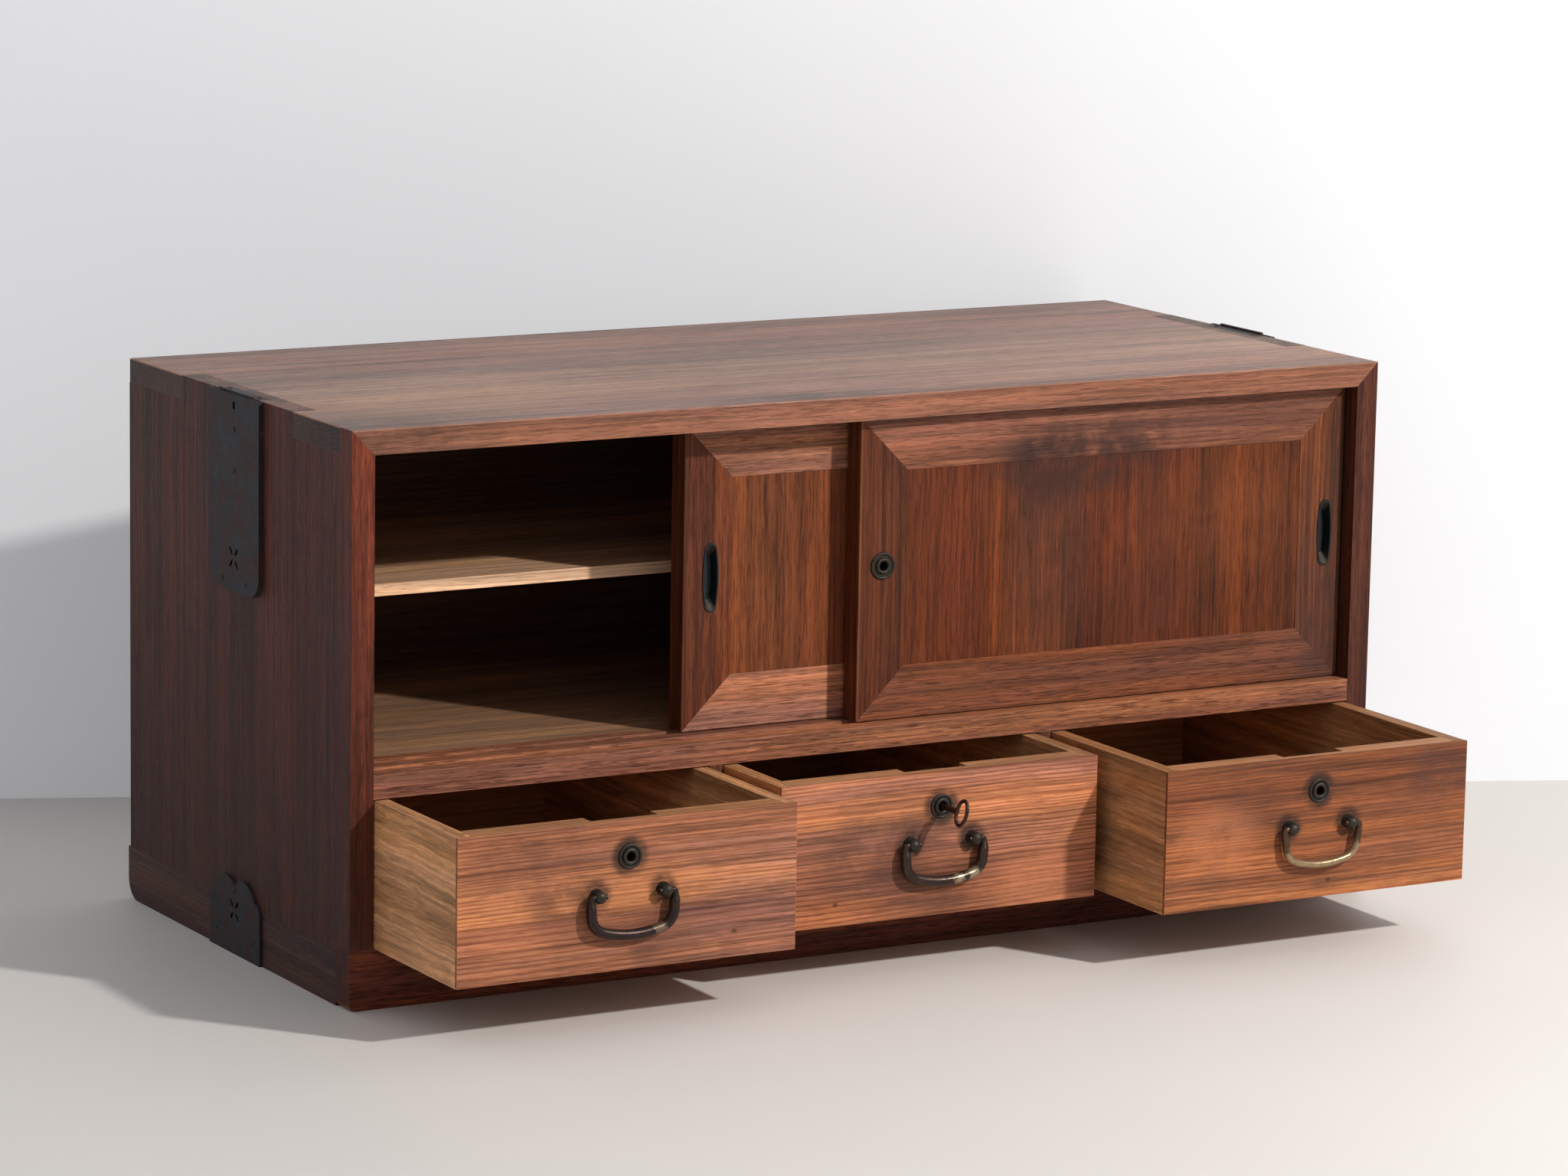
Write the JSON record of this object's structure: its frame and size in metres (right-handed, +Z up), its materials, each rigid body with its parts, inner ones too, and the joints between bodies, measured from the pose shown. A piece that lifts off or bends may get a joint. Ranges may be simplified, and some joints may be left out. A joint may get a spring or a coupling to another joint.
{
  "type": "low cabinet",
  "caption": "Low wooden chest in the East Asian manner: two sliding doors over a tier of drawers with iron bails, iron carrying loops on its sides.",
  "frame": {"origin": "on the floor under the middle of the case", "axes": "+X to the viewer's right along the width, +Y to the back, +Z up"},
  "size_m": [0.9604, 0.6095, 0.456],
  "materials": {
    "case_wood": "worn",
    "door_frame_wood": "worn",
    "door_panel_wood": "worn",
    "drawer_face_wood": "worn",
    "inner_wood": "raw",
    "plate_iron": "aged",
    "lock_iron": "aged",
    "fitting_iron": "aged"
  },
  "bodies": {
    "case": {"back_boards": "inner_wood", "backing_plates": "plate_iron", "base_rail": "case_wood", "bottom_board": "inner_wood", "carry_covers": "plate_iron", "cupboard_floor": "inner_wood", "drawer_dividers": "case_wood", "drawer_slips": "inner_wood", "foot_plates": "plate_iron", "left_side_board": "case_wood", "right_side_board": "case_wood", "plate_nails": "plate_iron", "runners": "case_wood", "shelf_board": "inner_wood", "sill_facing": "case_wood", "sill_rail": "case_wood", "top_board": "case_wood"},
    "left_carry_loop": {"left_carry_loop": "plate_iron"},
    "right_carry_loop": {"right_carry_loop": "plate_iron"},
    "left_door": {"left_door_stiles": "door_frame_wood", "left_door_rails": "door_frame_wood", "left_door_panel": "door_panel_wood", "left_door_finger_pull": "plate_iron"},
    "right_door": {"right_door_stiles": "door_frame_wood", "right_door_rails": "door_frame_wood", "right_door_panel": "door_panel_wood", "right_door_finger_pull": "plate_iron", "right_door_escutcheon": "fitting_iron", "right_door_lock_case": "lock_iron"},
    "left_drawer": {"left_drawer_facing": "drawer_face_wood", "left_drawer_front": "inner_wood", "left_drawer_sides": "inner_wood", "left_drawer_back": "inner_wood", "left_drawer_bottom": "inner_wood", "left_drawer_lock_case": "lock_iron", "left_drawer_escutcheon": "fitting_iron", "left_drawer_bail_posts": "fitting_iron"},
    "left_bail": {"left_drawer_bail": "fitting_iron"},
    "left_bolt": {"left_drawer_lock_bolt": "lock_iron"},
    "middle_drawer": {"middle_drawer_facing": "drawer_face_wood", "middle_drawer_front": "inner_wood", "middle_drawer_sides": "inner_wood", "middle_drawer_back": "inner_wood", "middle_drawer_bottom": "inner_wood", "middle_drawer_lock_case": "lock_iron", "middle_drawer_escutcheon": "fitting_iron", "middle_drawer_bail_posts": "fitting_iron"},
    "middle_bail": {"middle_drawer_bail": "fitting_iron"},
    "middle_bolt": {"middle_drawer_lock_bolt": "lock_iron"},
    "right_drawer": {"right_drawer_facing": "drawer_face_wood", "right_drawer_front": "inner_wood", "right_drawer_sides": "inner_wood", "right_drawer_back": "inner_wood", "right_drawer_bottom": "inner_wood", "right_drawer_lock_case": "lock_iron", "right_drawer_escutcheon": "fitting_iron", "right_drawer_bail_posts": "fitting_iron"},
    "right_bail": {"right_drawer_bail": "fitting_iron"},
    "right_bolt": {"right_drawer_lock_bolt": "lock_iron"},
    "key": {"key": "fitting_iron"}
  },
  "joints": [
    {"name": "left_door_slide", "type": "slide", "parent": "case", "child": "left_door", "axis": [1, 0, 0], "range_m": [-0.2889, 0.147]},
    {"name": "right_door_slide", "type": "slide", "parent": "case", "child": "right_door", "axis": [1, 0, 0], "range_m": [-0.436, 0]},
    {"name": "left_drawer_slide", "type": "slide", "parent": "case", "child": "left_drawer", "axis": [0, -1, 0], "range_m": [-0.143, 0.158]},
    {"name": "middle_drawer_slide", "type": "slide", "parent": "case", "child": "middle_drawer", "axis": [0, -1, 0], "range_m": [-0.093, 0.208]},
    {"name": "right_drawer_slide", "type": "slide", "parent": "case", "child": "right_drawer", "axis": [0, -1, 0], "range_m": [-0.174, 0.127]},
    {"name": "left_bail_swing", "type": "hinge", "parent": "left_drawer", "child": "left_bail", "pos_m": [-0.30733, -0.3589, 0.109], "axis": [-1, 0, 0], "range_deg": [-3, 176]},
    {"name": "middle_bail_swing", "type": "hinge", "parent": "middle_drawer", "child": "middle_bail", "pos_m": [0, -0.3089, 0.109], "axis": [-1, 0, 0], "range_deg": [-2.5, 114]},
    {"name": "right_bail_swing", "type": "hinge", "parent": "right_drawer", "child": "right_bail", "pos_m": [0.30733, -0.3899, 0.109], "axis": [-1, 0, 0], "range_deg": [-4.5, 178]},
    {"name": "key_turn", "type": "hinge", "parent": "middle_drawer", "child": "key", "pos_m": [0, -0.3025, 0.137], "axis": [0, 1, 0], "range_deg": [-15, 75]},
    {"name": "left_bolt_slide", "type": "slide", "parent": "left_drawer", "child": "left_bolt", "axis": [0, 0, 1], "range_m": [0, 0.008]},
    {"name": "middle_bolt_slide", "type": "slide", "parent": "middle_drawer", "child": "middle_bolt", "axis": [0, 0, 1], "range_m": [-0.00133, 0.00667]},
    {"name": "right_bolt_slide", "type": "slide", "parent": "right_drawer", "child": "right_bolt", "axis": [0, 0, 1], "range_m": [0, 0.008]},
    {"name": "left_carry_loop_slide", "type": "slide", "parent": "case", "child": "left_carry_loop", "axis": [0, 0, 1], "range_m": [0, 0.0765]},
    {"name": "right_carry_loop_slide", "type": "slide", "parent": "case", "child": "right_carry_loop", "axis": [0, 0, 1], "range_m": [0, 0.0765]}
  ],
  "couplings": [
    {"joint": "middle_bolt_slide", "follows": "key_turn", "m_per_rad": 0.005093}
  ]
}
